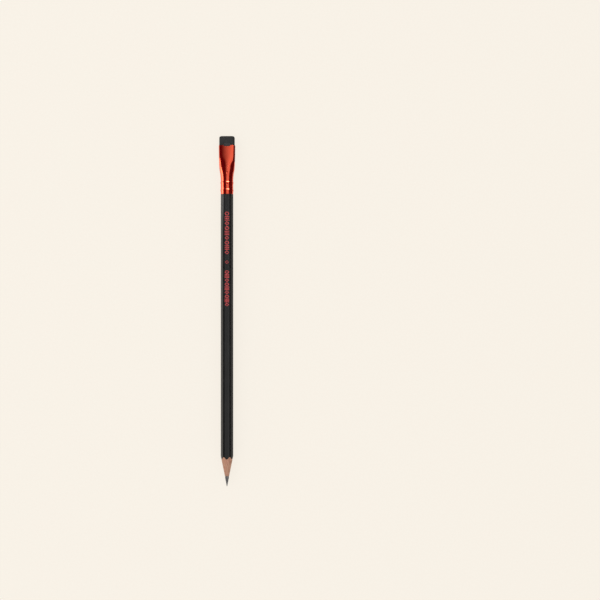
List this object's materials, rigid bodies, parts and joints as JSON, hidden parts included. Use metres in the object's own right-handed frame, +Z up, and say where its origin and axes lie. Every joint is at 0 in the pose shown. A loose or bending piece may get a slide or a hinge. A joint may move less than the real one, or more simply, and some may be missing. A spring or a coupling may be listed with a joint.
{
  "type": "graphite pencil",
  "caption": "Hexagonal wood-cased graphite pencil, sharpened, with a flat pressed metal ferrule and a flat eraser held in a sliding clip.",
  "frame": {"origin": "under the middle of the pencil's length, on the surface that it lies on", "axes": "+Y along the pencil towards the eraser, +X across the wide side of the ferrule, +Z up out of a flat of the hexagon"},
  "size_m": [0.0096, 0.203, 0.0076],
  "materials": {
    "graphite": "satin",
    "glue": "satin",
    "cedar": "matte",
    "black_lacquer": "satin",
    "red_foil": "satin",
    "anodised_red": "polished",
    "dark_coating": "satin",
    "black_rubber": "matte"
  },
  "bodies": {
    "barrel": {"graphite_core": "graphite", "glue_film": "glue", "cedar_slat_upper": "cedar", "cedar_slat_lower": "cedar", "lacquer_coat": "black_lacquer", "foil_band_upper": "red_foil", "foil_mark": "red_foil", "foil_band_lower": "red_foil", "ferrule": "anodised_red"},
    "clip": {"eraser_clip": "dark_coating"},
    "eraser": {"eraser": "black_rubber"}
  },
  "joints": [
    {"name": "clip_slide", "type": "slide", "parent": "barrel", "child": "clip", "axis": [0, 1, 0], "range_m": [0, 0.0145]},
    {"name": "eraser_slide", "type": "slide", "parent": "clip", "child": "eraser", "axis": [0, 1, 0], "range_m": [0, 0.009]}
  ]
}
